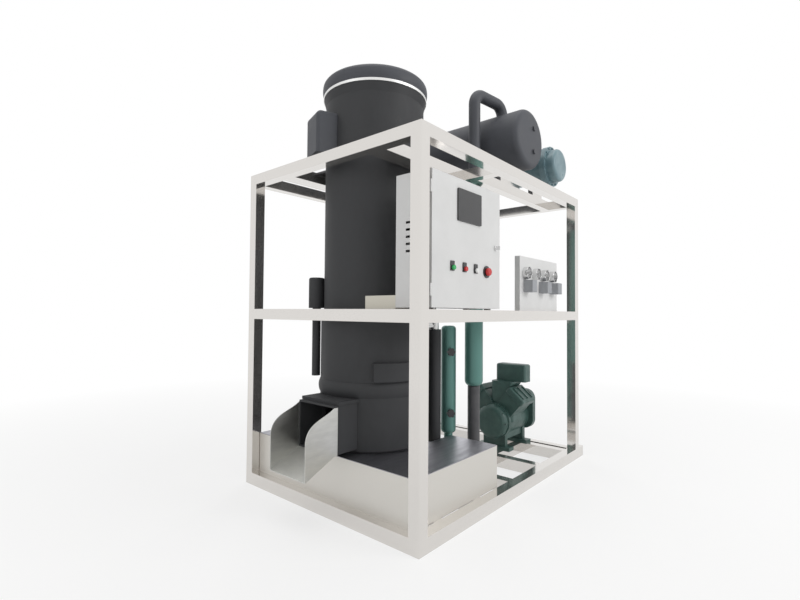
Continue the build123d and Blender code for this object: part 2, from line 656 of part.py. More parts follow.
def cabinet_parts():
    """Control cabinet: case, door, screen, buttons, stop button and lock."""
    left = -half_length + cabinet_inset
    right = left + cabinet_width
    bottom = mid_rail_top + cabinet_lift
    top = bottom + cabinet_height
    face = -half_width
    door_back = face + door_depth
    case_front = door_back + door_gap
    back = face + cabinet_depth
    case = span((left, right), (case_front, back), (bottom, top))
    case -= span((left + cabinet_sheet, right - cabinet_sheet), (case_front, back - cabinet_sheet),
                 (bottom + cabinet_sheet, top - cabinet_sheet))
    louvre = Box(4 * cabinet_sheet, louvre_width, louvre_height)
    middle_y = (case_front + back) / 2
    case -= [Pos(left, middle_y, bottom + louvre_lift + step * louvre_pitch) * louvre for step in range(louvre_count)]
    foot_ys = (-half_width + tube_side / 2 + door_depth / 2, cabinet_beam_y)
    for x in (left + tube_side, right - tube_side):
        for y in foot_ys:
            case += span((x - foot_pad / 2, x + foot_pad / 2), (y - foot_pad / 2, y + foot_pad / 2),
                         (mid_rail_top, bottom))
    door_left = left + door_gap
    door = span((door_left, right), (face, door_back), (bottom, top))
    door -= span((door_left + cabinet_sheet, right - cabinet_sheet), (face + cabinet_sheet, door_back),
                 (bottom + cabinet_sheet, top - cabinet_sheet))
    axis_x, axis_y = left - hinge_offset, face
    for z in (bottom + hinge_inset, top - hinge_inset):
        lower = (z - hinge_height, z - touch)
        upper = (z, z + hinge_height)
        leaf_back = case_front + hinge_height
        case += span((left - cabinet_sheet, left), (axis_y, leaf_back), lower)
        case += span((axis_x, left), (axis_y - cabinet_sheet / 2, axis_y + cabinet_sheet / 2), lower)
        case += rod((axis_x, axis_y, lower[0]), (0, 0, 1), hinge_height - touch, hinge_radius)
        case += rod((axis_x, axis_y, lower[0]), (0, 0, 1), 2 * hinge_height, hinge_pin_radius)
        door += span((axis_x, door_left + cabinet_sheet), (axis_y, axis_y + cabinet_sheet), upper)
        door += rod((axis_x, axis_y, upper[0]), (0, 0, 1), hinge_height, hinge_radius)
        door -= rod((axis_x, axis_y, upper[0]), (0, 0, 1), hinge_height, hinge_pin_radius + running_fit)
    plate_y = back - cabinet_sheet
    plate = span((left + plate_margin, right - plate_margin), (plate_y - plate_thickness, plate_y),
                 (bottom + plate_margin, top - plate_margin))
    for row in range(device_rows):
        rail_z = bottom + plate_margin + (row + 0.5) * (cabinet_height - 2 * plate_margin) / device_rows
        rail = span((left + 2 * plate_margin, right - 2 * plate_margin),
                    (plate_y - plate_thickness - device_depth, plate_y - plate_thickness),
                    (rail_z - device_height / 2, rail_z + device_height / 2))
        plate += rail
    nodes = {"cabinet_case": case, "mounting_plate": plate}

    screen_x, screen_z = left + screen_inset, bottom + screen_lift
    screen = span((screen_x - screen_size[0] / 2, screen_x + screen_size[0] / 2),
                  (face - screen_size[2], face),
                  (screen_z - screen_size[1] / 2, screen_z + screen_size[1] / 2))
    screen = fillet(screen.edges().filter_by(Axis.Y), screen_round)
    nodes["door_screen"] = screen
    bezels = []
    stem_hole = stem_radius + slide_fit
    button_xs = [left + inset for inset in button_insets]
    stop_x, button_z = left + stop_inset, bottom + button_lift
    lock_x, lock_z = left + lock_inset, bottom + lock_lift
    for x in button_xs:
        bezel = span((x - bezel_size[0] / 2, x + bezel_size[0] / 2), (face - bezel_size[2], face),
                     (button_z - bezel_size[0] / 2, button_z - bezel_size[0] / 2 + bezel_size[1]))
        bezel = fillet(bezel.edges().filter_by(Axis.Y), bezel_round)
        bezels.append(bezel - rod((x, face + overcut, button_z), (0, -1, 0), 3 * bezel_size[2], stem_hole))
    stop_plate = rod((stop_x, face, button_z), (0, -1, 0), bezel_size[2], stop_plate_radius)
    bezels.append(stop_plate - rod((stop_x, face + overcut, button_z), (0, -1, 0), 3 * bezel_size[2], stem_hole))
    nodes["button_bezels"] = Compound(bezels)
    for x in button_xs + [stop_x]:
        door -= rod((x, face - overcut, button_z), (0, 1, 0), 2 * cabinet_sheet, stem_hole)
    head_back = face - bezel_size[2] - button_travel - slide_fit
    for name, x in zip(button_names, button_xs):
        button = rod((x, head_back, button_z), (0, -1, 0), button_height, button_radius)
        button = fillet(button.edges().group_by(Axis.Y)[0], button_edge)
        nodes[f"button_{name}"] = button + rod((x, head_back, button_z), (0, 1, 0), stem_length, stem_radius)
    stop = rod((stop_x, head_back, button_z), (0, -1, 0), stop_height, stop_radius)
    stop = fillet(stop.edges().group_by(Axis.Y)[0], min(stop_round, stop_height / 2))
    nodes["stop_button"] = stop + rod((stop_x, head_back, button_z), (0, 1, 0), stem_length, stem_radius)

    barrel_end = face + cabinet_sheet + lock_stem
    door -= rod((lock_x, face - overcut, lock_z), (0, 1, 0), 2 * cabinet_sheet, lock_stem_radius + running_fit)
    lock = rod((lock_x, face - touch, lock_z), (0, -1, 0), lock_head, lock_radius)
    lock += rod((lock_x, face - touch, lock_z), (0, 1, 0), barrel_end - face + touch, lock_stem_radius)
    lock += span((lock_x, lock_x + lock_tongue), (barrel_end - cabinet_sheet, barrel_end),
                 (lock_z - lock_stem_radius, lock_z + lock_stem_radius))
    lock += span((lock_x - key_thickness / 2, lock_x + key_thickness / 2),
                 (face - lock_head - key_width, face - lock_head), (lock_z - key_width / 2, lock_z + key_width / 2))
    nodes["door_lock"] = lock
    nodes["cabinet_door"] = door

    trunks = []
    near = back
    for length in trunk_lengths:
        trunks.append(span((left, left + trunk_width), (near + touch, near + length),
                           (mid_rail_top, mid_rail_top + trunk_height)))
        near += length
    nodes["cable_trunk"] = Compound(trunks)
    return nodes


def vessel_parts():
    """Vessel, condenser and their saddles, with the oil separator and the gooseneck pipe."""
    vessel = rod((vessel_x, vessel_front, vessel_z), (0, 1, 0), vessel_back - vessel_front, vessel_radius)
    vessel = fillet(vessel.edges().filter_by(GeomType.CIRCLE), vessel_end_round)
    for dx, dz in vessel_plug_spots:
        vessel += rod((vessel_x + dx, vessel_front, vessel_z + dz), (0, -1, 0), vessel_plug_length,
                      vessel_plug_radius)
    condenser_z = frame_height + condenser_lift + condenser_flange_radius
    shell_front = condenser_front + water_box_depth + flange_thickness
    shell_back = condenser_back - water_box_depth - flange_thickness
    condenser = rod((condenser_x, shell_front, condenser_z), (0, 1, 0), shell_back - shell_front,
                    condenser_radius)
    heads = []
    for end, side in ((shell_front, -1), (shell_back, 1)):
        condenser += rod((condenser_x, end, condenser_z), (0, -side, 0), flange_thickness,
                         condenser_flange_radius)
        head = rod((condenser_x, end, condenser_z), (0, side, 0), flange_thickness + water_box_depth,
                   condenser_radius + head_step)
        head = fillet(head.edges().sort_by(Axis.Y)[0 if side < 0 else -1], water_box_round)
        head += rod((condenser_x, end, condenser_z), (0, side, 0), flange_thickness, condenser_flange_radius)
        for step in range(flange_bolts):
            dx, dz = polar(condenser_flange_radius - flange_bolt_inset, 360 * (step + 0.5) / flange_bolts)
            head += rod((condenser_x + dx, end + side * flange_thickness, condenser_z + dz), (0, side, 0),
                        flange_bolt_radius, flange_bolt_radius)
        heads.append(head)
    saddles = []
    for y in vessel_beam_ys:
        ys = (y - saddle_thickness / 2, y + saddle_thickness / 2)
        for x, width, radius, z in ((vessel_x, saddle_width, vessel_radius, vessel_z),
                                    (condenser_x, condenser_saddle_width, condenser_radius, condenser_z)):
            saddle = span((x - width / 2, x + width / 2), ys, (frame_height, z - radius * saddle_embrace))
            bed = rod((x, ys[0] - overcut, z), (0, 1, 0), saddle_thickness + 2 * overcut, radius + touch)
            saddles.append(saddle - bed)

    separator = Pos(separator_x, separator_y, (separator_bottom + separator_top) / 2) * Cylinder(
        separator_radius, separator_top - separator_bottom)
    separator = fillet(separator.edges().filter_by(GeomType.CIRCLE), separator_round)
    foot = Pos(separator_x, separator_y, (base_height + separator_bottom) / 2) * Cylinder(
        separator_foot_radius, separator_bottom - base_height)
    foot += Pos(separator_x, separator_y, base_height + separator_foot_plate / 2) * Cylinder(
        separator_foot_radius + separator_foot_flange, separator_foot_plate)
    vessel_top = vessel_z + vessel_radius
    suction_top = vessel_top + suction_rise
    route = FilletPolyline((separator_x, separator_y, separator_top), (separator_x, separator_y, suction_top),
                           (vessel_x, suction_drop_y, suction_top), (vessel_x, suction_drop_y, vessel_top + touch),
                           radius=suction_bend)
    pipe = sweep(Plane(origin=(separator_x, separator_y, separator_top), z_dir=(0, 0, 1)) * Circle(suction_radius),
                 path=route)
    return {"low_pressure_vessel": vessel, "condenser_shell": condenser, "condenser_heads": Compound(heads),
            "top_saddles": Compound(saddles), "oil_separator": separator, "separator_foot": foot,
            "suction_pipe": pipe}


def receiver_parts():
    """Green receiver column with its two hand knobs."""
    height = receiver_top - receiver_bottom
    column = Pos(receiver_x, receiver_y, (receiver_bottom + receiver_top) / 2) * Cylinder(receiver_radius, height)
    column = fillet(column.edges().filter_by(GeomType.CIRCLE), receiver_round)
    foot_bottom = base_height + pump_plate_thickness
    column += Pos(receiver_x, receiver_y, (foot_bottom + receiver_bottom) / 2) * Cylinder(
        receiver_foot_radius, receiver_bottom - foot_bottom)
    nodes = {}
    boss_end = receiver_radius + knob_boss
    knob_start = boss_end + touch
    for name, z in zip(("lower", "upper"), knob_zs):
        seat = Plane(origin=(receiver_x, receiver_y, z), x_dir=(0, 0, 1), z_dir=(*polar(1, knob_turn), 0))
        column += seat * Pos(0, 0, boss_end / 2) * Cylinder(knob_boss_radius, boss_end)
        column -= seat * Pos(0, 0, boss_end) * Cylinder(knob_stem_radius + running_fit, 2 * knob_stem_length)
        knob = seat * Pos(0, 0, knob_start + knob_depth / 2) * Cylinder(knob_radius, knob_depth)
        knob -= [seat * Rot(0, 0, 360 * step / knob_notch_count) * Pos(knob_radius, 0, knob_start)
                 * Cylinder(knob_notch, 3 * knob_depth) for step in range(knob_notch_count)]
        stem_length = knob_start - boss_end + knob_stem_length - knob_stem_play
        knob += seat * Pos(0, 0, knob_start - stem_length / 2) * Cylinder(knob_stem_radius, stem_length)
        nodes[f"valve_knob_{name}"] = knob
    nodes["receiver"] = column
    return nodes


def compressor_parts():
    """Semi-hermetic compressor: crankcase, two banks of cylinders, bearing housing and terminal box."""
    barrel_front = crank_front + end_bell_depth
    bearing_front = crank_back - bearing_size[0]
    barrel_bottom = crank_z - barrel_radius
    body = rod((barrel_front, crank_y, crank_z), (1, 0, 0), bearing_front - barrel_front, barrel_radius)
    bell = rod((crank_front, crank_y, crank_z), (1, 0, 0), end_bell_depth, end_bell_radius)
    body += fillet(bell.edges().group_by(Axis.X)[0], end_bell_round)
    body += rod((barrel_front - end_ring_thickness, crank_y, crank_z), (1, 0, 0), 2 * end_ring_thickness,
                end_ring_radius)
    face = Plane(origin=(crank_front, crank_y, crank_z), z_dir=(1, 0, 0))
    rib_depth = end_bell_depth - rib_start
    rib = Pos(0, rib_reach / 2, rib_start + rib_depth / 2) * Box(rib_thickness, rib_reach, rib_depth)
    body += [face * Rot(0, 0, 360 * step / rib_count) * rib for step in range(rib_count)]
    bearing = Pos(bearing_front + bearing_size[0] / 2, crank_y, crank_z + bearing_lift) * Box(*bearing_size)
    body += fillet(bearing.edges().filter_by(Axis.X), bearing_round)
    body += rod((crank_back, crank_y, crank_z + bearing_lift), (1, 0, 0), bearing_cover_depth,
                bearing_cover_radius)
    body += span(foot_xs, (crank_y - sump_width / 2, crank_y + sump_width / 2), (barrel_bottom - sump_drop, crank_z))
    for x in foot_xs:
        body += span((x - foot_size[0] / 2, x + foot_size[0] / 2),
                     (crank_y - foot_size[1] / 2, crank_y + foot_size[1] / 2),
                     (base_height, base_height + foot_size[2]))
        body += span((x - foot_web[0] / 2, x + foot_web[0] / 2),
                     (crank_y - foot_web[1] / 2, crank_y + foot_web[1] / 2), (base_height, crank_z))
    gallery_y = (crank_y + terminal_y) / 2
    gallery = span((bank_x - gallery_size[0] / 2, bank_x + gallery_size[0] / 2),
                   (gallery_y - gallery_size[1] / 2, gallery_y + gallery_size[1] / 2), (crank_z, terminal_bottom))
    body += fillet(gallery.edges().filter_by(Axis.Z), gallery_round)
    heads = []
    neck_top = bank_reach - head_depth
    for angle in bank_angles:
        turn = Pos(bank_x, crank_y, crank_z) * Rot(angle, 0, 0)
        body -= turn * Pos(0, 0, neck_top + head_depth) * Box(bank_size[0] + 2 * touch, bank_size[1] + 2 * touch,
                                                              2 * head_depth)
        body += turn * Pos(0, 0, neck_top / 2) * Box(bank_size[0] - bank_step, bank_size[1] - bank_step, neck_top)
        head = turn * Pos(0, 0, bank_reach - head_depth / 2) * Box(bank_size[0], bank_size[1], head_depth)
        head = fillet(head.edges().filter_by(GeomType.LINE), head_round)
        for step in range(head_rib_count):
            x = (step - (head_rib_count - 1) / 2) * bank_size[0] / head_rib_count
            head += turn * Pos(x, 0, bank_reach) * Box(head_rib_width, bank_size[1] - 4 * head_round,
                                                       2 * head_rib_height)
        heads.append(head)
    box = span((terminal_front, terminal_front + terminal_size[0]),
               (terminal_y - terminal_size[1] / 2, terminal_y + terminal_size[1] / 2),
               (terminal_bottom, terminal_bottom + terminal_size[2]))
    box = fillet(box.edges().group_by(Axis.Z)[-1] + box.edges().filter_by(Axis.Z), terminal_round)
    return {"compressor_body": body, "cylinder_heads": Compound(heads), "terminal_box": box}


def gauge_parts():
    """Gauge panel with dial cases, needles and pressure switches."""
    panel_y = -half_width + panel_inset
    top = mid_rail_top + panel_height
    gauge_z, switch_z = mid_rail_top + gauge_lift, mid_rail_top + switch_lift
    panel = span((panel_left, panel_right), (panel_y, panel_y + panel_flange), (mid_rail_top, top))
    panel -= span((panel_left + panel_thickness, panel_right - panel_thickness),
                  (panel_y + panel_thickness, panel_y + panel_flange), (mid_rail_top, top - panel_thickness))
    panel += span((panel_left, panel_right), (panel_y, panel_y + panel_flange - touch),
                  (mid_rail_top, mid_rail_top + panel_thickness))
    cases, nodes = [], {}
    dial_y = panel_y - dial_depth
    for number, x in enumerate(gauge_xs, start=1):
        case = rod((x, panel_y, gauge_z), (0, -1, 0), gauge_depth, gauge_radius)
        case -= rod((x, panel_y - gauge_wall, gauge_z), (0, -1, 0), gauge_depth, gauge_radius - gauge_wall)
        case += rod((x, panel_y, gauge_z), (0, -1, 0), gauge_pin_length, needle_pin_radius)
        cases.append(case)
        needle = rod((x, dial_y, gauge_z), (0, -1, 0), needle_hub, needle_hub_radius)
        needle += span((x - needle_tail, x + needle_length), (dial_y - needle_thickness, dial_y),
                       (gauge_z - needle_thickness, gauge_z + needle_thickness))
        needle -= rod((x, dial_y + overcut, gauge_z), (0, -1, 0), needle_hub + 2 * overcut,
                      needle_pin_radius + running_fit)
        turn = Pos(x, 0, gauge_z) * Rot(0, needle_rest, 0) * Pos(-x, 0, -gauge_z)
        nodes[f"gauge_needle_{number}"] = turn * needle
    switches = []
    for x in switch_xs:
        switch = span((x, x + switch_size[0]), (panel_y - switch_size[1], panel_y),
                      (switch_z, switch_z + switch_size[2]))
        switches.append(fillet(switch.edges().group_by(Axis.Y)[0], switch_round))
    nodes.update({"gauge_panel": panel, "gauge_cases": Compound(cases), "pressure_switches": Compound(switches)})
    return nodes


def main():
    """Build every piece and write its STEP file."""
    os.makedirs("parts", exist_ok=True)
    nodes = {}
    for build in (frame_parts, evaporator_parts, cutter_parts, tank_parts, side_parts, cabinet_parts,
                  vessel_parts, receiver_parts, compressor_parts, gauge_parts):
        nodes.update(build())
    for name, shape in nodes.items():
        export_step(shape, os.path.join("parts", name + ".step"))


main()
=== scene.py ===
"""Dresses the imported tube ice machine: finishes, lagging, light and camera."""
import logging
import math
from dataclasses import dataclass, field
from enum import Enum
from typing import Sequence

import bmesh
import bpy
from mathutils import Matrix, Vector


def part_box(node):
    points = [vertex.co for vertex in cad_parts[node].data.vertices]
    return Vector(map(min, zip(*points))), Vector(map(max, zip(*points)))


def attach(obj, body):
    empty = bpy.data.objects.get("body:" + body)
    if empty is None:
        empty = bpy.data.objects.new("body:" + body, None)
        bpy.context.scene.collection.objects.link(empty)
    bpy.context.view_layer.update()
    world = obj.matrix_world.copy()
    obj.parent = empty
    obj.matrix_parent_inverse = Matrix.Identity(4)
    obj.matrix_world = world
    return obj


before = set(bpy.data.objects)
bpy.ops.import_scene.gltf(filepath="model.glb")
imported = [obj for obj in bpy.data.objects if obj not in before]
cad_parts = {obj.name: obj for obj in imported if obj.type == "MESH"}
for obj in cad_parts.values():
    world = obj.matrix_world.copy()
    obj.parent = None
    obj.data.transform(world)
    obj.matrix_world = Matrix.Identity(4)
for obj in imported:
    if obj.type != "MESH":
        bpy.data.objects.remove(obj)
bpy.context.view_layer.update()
log = logging.getLogger("ice_machine")

Point = tuple[float, float, float]
Color = tuple[float, float, float]


class Slot(str, Enum):
    """Names of material slots."""

    TUBE = "polished_tube"
    LAGGING = "lagging"
    BRIGHT = "bright_steel"
    SHEET = "brushed_sheet"
    CABINET = "cabinet_paint"
    SCREEN = "screen_black"
    RED = "red_plastic"
    WHITE = "white_plastic"
    BEIGE = "beige_plastic"
    GREEN = "vessel_green"
    COMPRESSOR = "compressor_green"
    GAUGE = "gauge_steel"
    NEEDLE = "needle_black"
    SWITCH = "switch_grey"
    GREY = "dark_grey"


class Body(str, Enum):
    """Moving bodies that pieces ride on."""

    MACHINE = "machine"
    DOOR = "door"
    LOCK = "lock"
    STOP = "stop"
    CUTTER = "cutter"


@dataclass(frozen=True)
class Finish:
    """One surface finish and the way it varies.

    The base colour is mixed towards the second one by a noise mask, streaks
    stretch that mask along one axis, and the bump gives its relief. Side paints shade and darker
    reflections on faces turned along X, and edge paints a lighter highlight on corners.
    """

    name: str
    color: Color
    second: Color
    metallic: float = 0.0
    roughness: float = 0.5
    roughness_spread: float = 0.08
    scale: float = 14.0
    stretch: Point = (1.0, 1.0, 1.0)
    contrast: float = 0.5
    bump: float = 0.1
    bump_scale: float = 260.0
    bump_distance: float = 0.0006
    coat: float = 0.0
    coat_roughness: float = 0.1
    # edge and the colour below paint a lighter highlight on corners
    edge: float = 0.0
    edge_color: Color = (0.8, 0.8, 0.8)
    specular: float = 0.5
    # side and the colour below paint shade and darker reflections on faces turned along X
    side: float = 0.0
    side_color: Color = (0.2, 0.2, 0.2)


# polished steel: the warm beige tone and the large darker cloud patches of the second tone are painted reflections of
# brownish surroundings; side paints shade on faces turned along X
POLISHED = Finish("polished_tube", (0.52, 0.485, 0.435), (0.36, 0.325, 0.285), 1.0, 0.20, 0.10, 3.0,
                  (1.0, 1.0, 1.0), 0.75, 0.05, 420.0, 0.0003, side=0.85, side_color=(0.15, 0.125, 0.105))
LAGGING = Finish("foam_lagging", (0.030, 0.031, 0.033), (0.046, 0.047, 0.050), 0.0, 0.62, 0.10, 7.0,
                 (1.0, 1.0, 0.6), 0.55, 0.35, 330.0, 0.0007, specular=0.35)
# foam lagging of the cap, side box, vessel and suction pipe: a lighter, bluer copy of the same foam, painted top light
# on the upper parts
LAGGING_TOP = Finish("foam_lagging_top", (0.050, 0.053, 0.062), (0.070, 0.074, 0.086), 0.0, 0.55, 0.10, 6.0,
                     (1.0, 1.0, 1.0), 0.55, 0.30, 330.0, 0.0007, specular=0.4)
BRIGHT = Finish("bright_steel", (0.70, 0.69, 0.67), (0.55, 0.54, 0.52), 1.0, 0.24, 0.08, 22.0,
                (1.0, 1.0, 1.0), 0.5, 0.05, 500.0, 0.0003)
# brushed sheet of the water tank: side paints a brown reflection and shade on faces turned along X
SHEET = Finish("brushed_sheet", (0.56, 0.58, 0.52), (0.46, 0.47, 0.42), 1.0, 0.36, 0.08, 9.0,
               (0.35, 0.35, 9.0), 0.6, 0.10, 700.0, 0.0003, side=0.8, side_color=(0.22, 0.195, 0.165))
CHUTE_SHEET = Finish("chute_sheet", (0.66, 0.66, 0.63), (0.54, 0.54, 0.52), 1.0, 0.42, 0.08, 7.0,
                     (1.0, 1.0, 4.0), 0.6, 0.08, 600.0, 0.0003)
# tank cover: a darker blue-grey copy of the stainless sheet, a painted reflection on the tank top
COVER_SHEET = Finish("tank_cover_sheet", (0.36, 0.36, 0.39), (0.29, 0.29, 0.32), 1.0, 0.40, 0.08, 6.0,
                     (1.0, 6.0, 1.0), 0.6, 0.08, 600.0, 0.0003)
CABINET = Finish("powder_coat", (0.74, 0.74, 0.735), (0.70, 0.70, 0.695), 0.0, 0.42, 0.05, 5.0,
                 (1.0, 1.0, 1.0), 0.4, 0.22, 900.0, 0.0004, edge=0.25)
VESSEL_GREEN = Finish("vessel_green", (0.085, 0.165, 0.150), (0.055, 0.115, 0.105), 0.0, 0.38, 0.10, 10.0,
                      (1.0, 1.0, 1.0), 0.6, 0.18, 500.0, 0.0006, edge=0.3, edge_color=(0.30, 0.42, 0.40))
CONDENSER_GREEN = Finish("condenser_green", (0.20, 0.30, 0.33), (0.12, 0.20, 0.23), 0.0, 0.36, 0.10, 12.0,
                         (1.0, 1.0, 1.0), 0.7, 0.25, 300.0, 0.0010, edge=0.35, edge_color=(0.42, 0.54, 0.56))
CASTING_GREEN = Finish("casting_green", (0.060, 0.125, 0.110), (0.035, 0.080, 0.070), 0.0, 0.42, 0.12, 16.0,
                       (1.0, 1.0, 1.0), 0.7, 0.45, 420.0, 0.0010, edge=0.45, edge_color=(0.26, 0.36, 0.33))
DARK_STEEL = Finish("dark_steel", (0.075, 0.075, 0.080), (0.050, 0.050, 0.055), 0.0, 0.45, 0.10, 12.0,
                    bump=0.2)
BLACK_PLASTIC = Finish("black_plastic", (0.016, 0.016, 0.018), (0.024, 0.024, 0.026), 0.0, 0.34, 0.06, 30.0,
                       bump=0.12, coat=0.2)
RED_PLASTIC = Finish("red_plastic", (0.56, 0.022, 0.020), (0.48, 0.016, 0.016), 0.0, 0.30, 0.05, 30.0, bump=0.05,
                     coat=0.4)
GREEN_PLASTIC = Finish("green_plastic", (0.020, 0.40, 0.10), (0.016, 0.33, 0.08), 0.0, 0.30, 0.05, 30.0,
                       bump=0.05, coat=0.4)
WHITE_PLASTIC = Finish("white_plastic", (0.80, 0.80, 0.79), (0.74, 0.74, 0.73), 0.0, 0.35, 0.05, 30.0, bump=0.05)
YELLOW_PLATE = Finish("yellow_plate", (0.78, 0.55, 0.03), (0.72, 0.50, 0.03), 0.0, 0.38, 0.05, 30.0, bump=0.05)
BEIGE = Finish("beige_plastic", (0.66, 0.62, 0.52), (0.60, 0.56, 0.47), 0.0, 0.5, 0.05, 20.0, bump=0.15)
SCREEN_GLASS = Finish("screen_glass", (0.42, 0.50, 0.41), (0.27, 0.34, 0.28), 0.0, 0.14, 0.05, 16.0,
                      (1.0, 1.0, 1.0), 0.75, 0.02, coat=0.6, coat_roughness=0.05)
LAMP_LENS = Finish("lamp_lens", (0.70, 0.68, 0.52), (0.62, 0.60, 0.46), 0.0, 0.25, 0.05, 40.0, bump=0.02, coat=0.5)
RED_CAP = Finish("red_cap", (0.50, 0.05, 0.04), (0.42, 0.04, 0.035), 0.0, 0.42, 0.05, 40.0, bump=0.05)
WELD = Finish("weld_bead", (0.46, 0.43, 0.39), (0.26, 0.23, 0.20), 1.0, 0.34, 0.10, 60.0, bump=0.5, bump_scale=380.0)
STICKER = Finish("yellow_sticker", (0.72, 0.62, 0.16), (0.66, 0.56, 0.14), 0.0, 0.5, 0.04, 20.0, bump=0.02)
TAPE = Finish("seam_tape", (0.038, 0.039, 0.041), (0.026, 0.027, 0.029), 0.0, 0.48, 0.08, 30.0, bump=0.2)
BRASS = Finish("brass", (0.66, 0.47, 0.22), (0.52, 0.36, 0.16), 1.0, 0.30, 0.10, 40.0, bump=0.15)
COPPER = Finish("copper", (0.66, 0.36, 0.24), (0.42, 0.20, 0.13), 1.0, 0.34, 0.12, 45.0, bump=0.12)
GALVANISED = Finish("galvanised", (0.56, 0.57, 0.58), (0.46, 0.47, 0.48), 1.0, 0.42, 0.10, 60.0, bump=0.1)
MOTOR_BLUE = Finish("motor_paint", (0.14, 0.20, 0.25), (0.10, 0.15, 0.19), 0.0, 0.42, 0.08, 18.0, bump=0.2,
                    edge=0.3, edge_color=(0.34, 0.42, 0.46))
SWITCH_GREY = Finish("switch_grey", (0.30, 0.31, 0.33), (0.25, 0.26, 0.28), 0.0, 0.48, 0.06, 30.0, bump=0.15)
LABEL = Finish("label_sheet", (0.80, 0.80, 0.78), (0.76, 0.76, 0.74), 0.0, 0.55, 0.04, 8.0, bump=0.03)
PLATE_WHITE = Finish("name_plate", (0.62, 0.63, 0.60), (0.50, 0.51, 0.49), 0.0, 0.4, 0.05, 30.0, bump=0.03)
RUBBER_LEAD = Finish("rubber_lead", (0.022, 0.022, 0.024), (0.034, 0.034, 0.036), 0.0, 0.5, 0.05, 60.0, bump=0.1)
CONDUIT_GREY = Finish("conduit_grey", (0.30, 0.31, 0.32), (0.22, 0.23, 0.24), 0.0, 0.5, 0.05, 60.0, bump=0.1)
CHROME = Finish("chrome", (0.74, 0.74, 0.74), (0.66, 0.66, 0.66), 1.0, 0.12, 0.05, 30.0, bump=0.02)
DIAL_WHITE = Finish("dial_white", (0.84, 0.84, 0.82), (0.80, 0.80, 0.78), 0.0, 0.5, 0.04, 30.0, bump=0.02)
INK = Finish("dial_ink", (0.02, 0.02, 0.022), (0.03, 0.03, 0.03), 0.0, 0.5, 0.04, 30.0, bump=0.02)


class Nodes:
    """A node tree that is wired by short calls."""

    def __init__(self, tree: bpy.types.NodeTree) -> None:
        """Start from an empty tree.

        Args:
            tree: The material's or group's node tree.
        """
        self.tree = tree
        tree.nodes.clear()

    def add(self, kind: str, settings: dict[str, object] | None = None,
            **sockets: object) -> bpy.types.Node:
        """Add a node, set its properties and fill its inputs.

        Args:
            kind: The node's type name without the ShaderNode prefix.
            settings: Properties of the node, by name.
            sockets: Input values, or output sockets to link, with _ for spaces.

        Returns:
            The new node.
        """
        prefix = "" if kind.startswith(("NodeGroup", "ShaderNode")) else "ShaderNode"
        node = self.tree.nodes.new(prefix + kind)
        for name, value in (settings or {}).items():
            setattr(node, name, value)
        for name, value in sockets.items():
            self.feed(node, name.replace("_", " "), value)
        return node

    def feed(self, node: bpy.types.Node, name: str | int, value: object) -> None:
        """Link an output socket to an input, or set the input's value.

        Args:
            node: The node that takes the value.
            name: The input's name or index.
            value: An output socket, a number or a tuple.
        """
        socket = node.inputs[int(name) if str(name).isdigit() else name]
        if isinstance(value, bpy.types.NodeSocket):
            self.tree.links.new(value, socket)
        else:
            socket.default_value = value


def rgba(color: Color) -> tuple[float, float, float, float]:
    """Give a colour with full alpha."""
    return (*color, 1.0)


def open_group(name: str, inputs: dict[str, tuple[str, object]],
               outputs: dict[str, str]) -> tuple[bpy.types.ShaderNodeTree, Nodes, bpy.types.Node, bpy.types.Node]:
    """Start a shader group with named inputs and outputs.

    Args:
        name: The group's name.
        inputs: Socket type and default value of each input, by name.
        outputs: Socket type of each output, by name.

    Returns:
        The group's tree, its wiring helper, and its input and output nodes.
    """
    group = bpy.data.node_groups.new(name, "ShaderNodeTree")
    for label, (kind, value) in inputs.items():
        socket = group.interface.new_socket(name=label, in_out="INPUT", socket_type=kind)
        socket.default_value = value
    for label, kind in outputs.items():
        group.interface.new_socket(name=label, in_out="OUTPUT", socket_type=kind)
    wires = Nodes(group)
    return group, wires, wires.add("NodeGroupInput"), wires.add("NodeGroupOutput")


